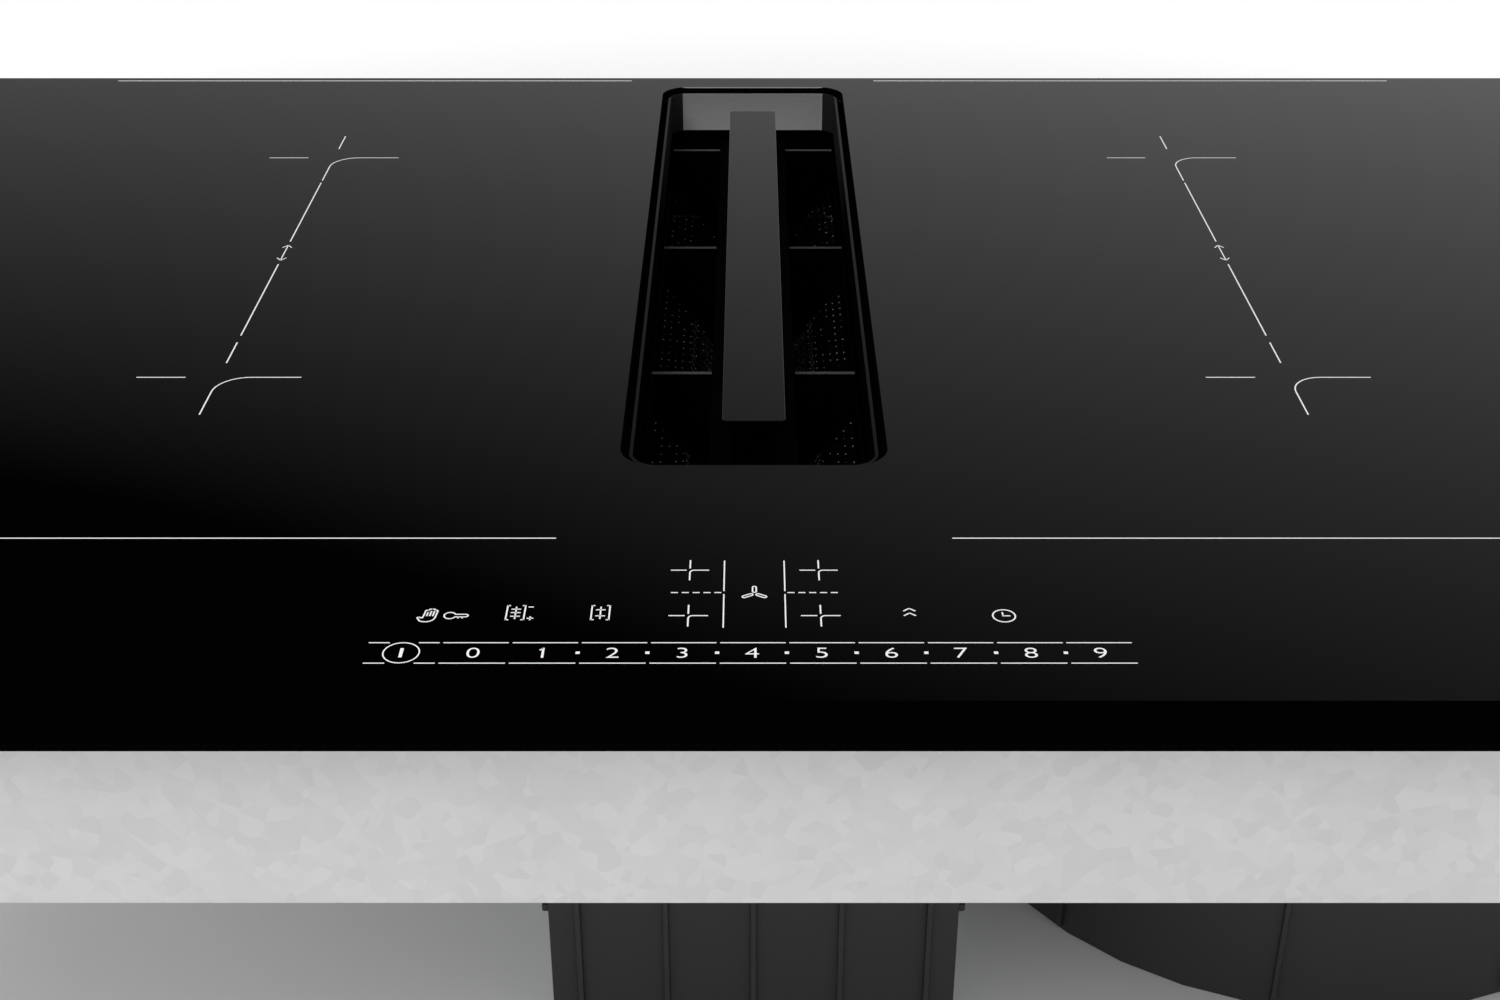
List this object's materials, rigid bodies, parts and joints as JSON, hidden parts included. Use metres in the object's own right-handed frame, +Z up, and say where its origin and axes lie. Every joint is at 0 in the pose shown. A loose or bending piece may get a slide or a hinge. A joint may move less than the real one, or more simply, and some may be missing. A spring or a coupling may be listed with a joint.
{
  "type": "downdraft induction cooktop",
  "caption": "Built-in induction cooktop: a black glass panel with a long central air intake, a lift-out filter, coils below the glass and a fan that blows out at the back.",
  "frame": {"origin": "centre of the worktop cut-out, on the plane of the worktop's top that the foam seal lies on", "axes": "+X to the right of someone who stands at the front, +Y towards the back, +Z up"},
  "size_m": [0.802, 0.522, 0.223],
  "materials": {
    "black_glass": "polished opaque black glass ceramic",
    "gloss_black": "high gloss",
    "matt_black": "fine texture",
    "grey_plastic": "fine texture",
    "light_plastic": "moulded",
    "foam": "closed-cell foam",
    "galvanised_sheet": "galvanised",
    "aluminium": "mill finish",
    "stainless": "satin",
    "copper_winding": "enamelled wire",
    "ferrite": "sintered",
    "circuit_board": "solder mask"
  },
  "bodies": {
    "cooktop": {"glass_panel": "black_glass", "glass_seal": "foam", "intake_seal": "foam", "intake_frame": "gloss_black", "intake_well": "matt_black", "casing_tray": "galvanised_sheet", "coil_back_right": "copper_winding", "coil_back_left": "copper_winding", "coil_front_right": "copper_winding", "coil_front_left": "copper_winding", "coil_carrier_back_right": "grey_plastic", "coil_carrier_back_left": "grey_plastic", "coil_carrier_front_right": "grey_plastic", "coil_carrier_front_left": "grey_plastic", "ferrite_star_back_right": "ferrite", "ferrite_star_back_left": "ferrite", "ferrite_star_front_right": "ferrite", "ferrite_star_front_left": "ferrite", "temperature_sensor_back_right": "matt_black", "temperature_sensor_back_left": "matt_black", "temperature_sensor_front_right": "matt_black", "temperature_sensor_front_left": "matt_black", "shield_plate_right": "aluminium", "shield_plate_left": "aluminium", "power_board_right": "circuit_board", "power_board_left": "circuit_board", "heatsink_right": "aluminium", "heatsink_left": "aluminium", "blower_housing_right": "matt_black", "blower_housing_left": "matt_black", "touch_board": "circuit_board", "touch_board_carrier": "matt_black", "plenum_housing": "matt_black", "inlet_channel": "matt_black", "fan_scroll_lower": "matt_black", "fan_scroll_lid": "matt_black", "inlet_nozzle": "grey_plastic", "fan_motor": "stainless", "outlet_duct": "matt_black", "terminal_box": "grey_plastic", "terminal_block": "light_plastic", "cable_gland": "matt_black", "motor_control_box": "matt_black", "motor_control_lid": "matt_black", "retaining_spring_right": "stainless", "retaining_spring_left": "stainless"},
    "collector": {"liquid_collector": "grey_plastic"},
    "filter": {"filter_frame": "gloss_black", "filter_mesh_right": "stainless", "filter_mesh_left": "stainless", "handle_carrier": "matt_black", "handle_bar": "gloss_black"},
    "impeller": {"impeller": "grey_plastic", "motor_shaft": "stainless"},
    "blower_rotor_right": {"blower_rotor_right": "matt_black"},
    "blower_rotor_left": {"blower_rotor_left": "matt_black"},
    "tank": {"overflow_tank": "light_plastic", "tank_seal": "foam"},
    "flap": {"backdraft_flap": "grey_plastic"},
    "terminal_cover": {"terminal_cover": "grey_plastic"}
  },
  "joints": [
    {"name": "collector_lift", "type": "slide", "parent": "cooktop", "child": "collector", "axis": [0, 0, 1], "range_m": [0, 0.13]},
    {"name": "filter_lift", "type": "slide", "parent": "collector", "child": "filter", "axis": [0, 0, 1], "range_m": [0, 0.1]},
    {"name": "impeller_spin", "type": "hinge", "parent": "cooktop", "child": "impeller", "pos_m": [0.2055, 0.02, -0.16], "axis": [0, 0, 1], "continuous": true},
    {"name": "blower_spin_right", "type": "hinge", "parent": "cooktop", "child": "blower_rotor_right", "pos_m": [0.31888, -0.11658, -0.04], "axis": [0, 0, 1], "continuous": true},
    {"name": "blower_spin_left", "type": "hinge", "parent": "cooktop", "child": "blower_rotor_left", "pos_m": [-0.31888, -0.06882, -0.04], "axis": [0, 0, 1], "continuous": true},
    {"name": "tank_pull", "type": "slide", "parent": "cooktop", "child": "tank", "axis": [0, 0, -1], "range_m": [0, 0.06]},
    {"name": "flap_swing", "type": "hinge", "parent": "cooktop", "child": "flap", "pos_m": [0.2925, 0.13187, -0.1259], "axis": [1, 0, 0], "range_deg": [0, 75]},
    {"name": "cover_swing", "type": "hinge", "parent": "cooktop", "child": "terminal_cover", "pos_m": [-0.305, 0.2417, -0.0617], "axis": [1, 0, 0], "range_deg": [0, 90]}
  ]
}
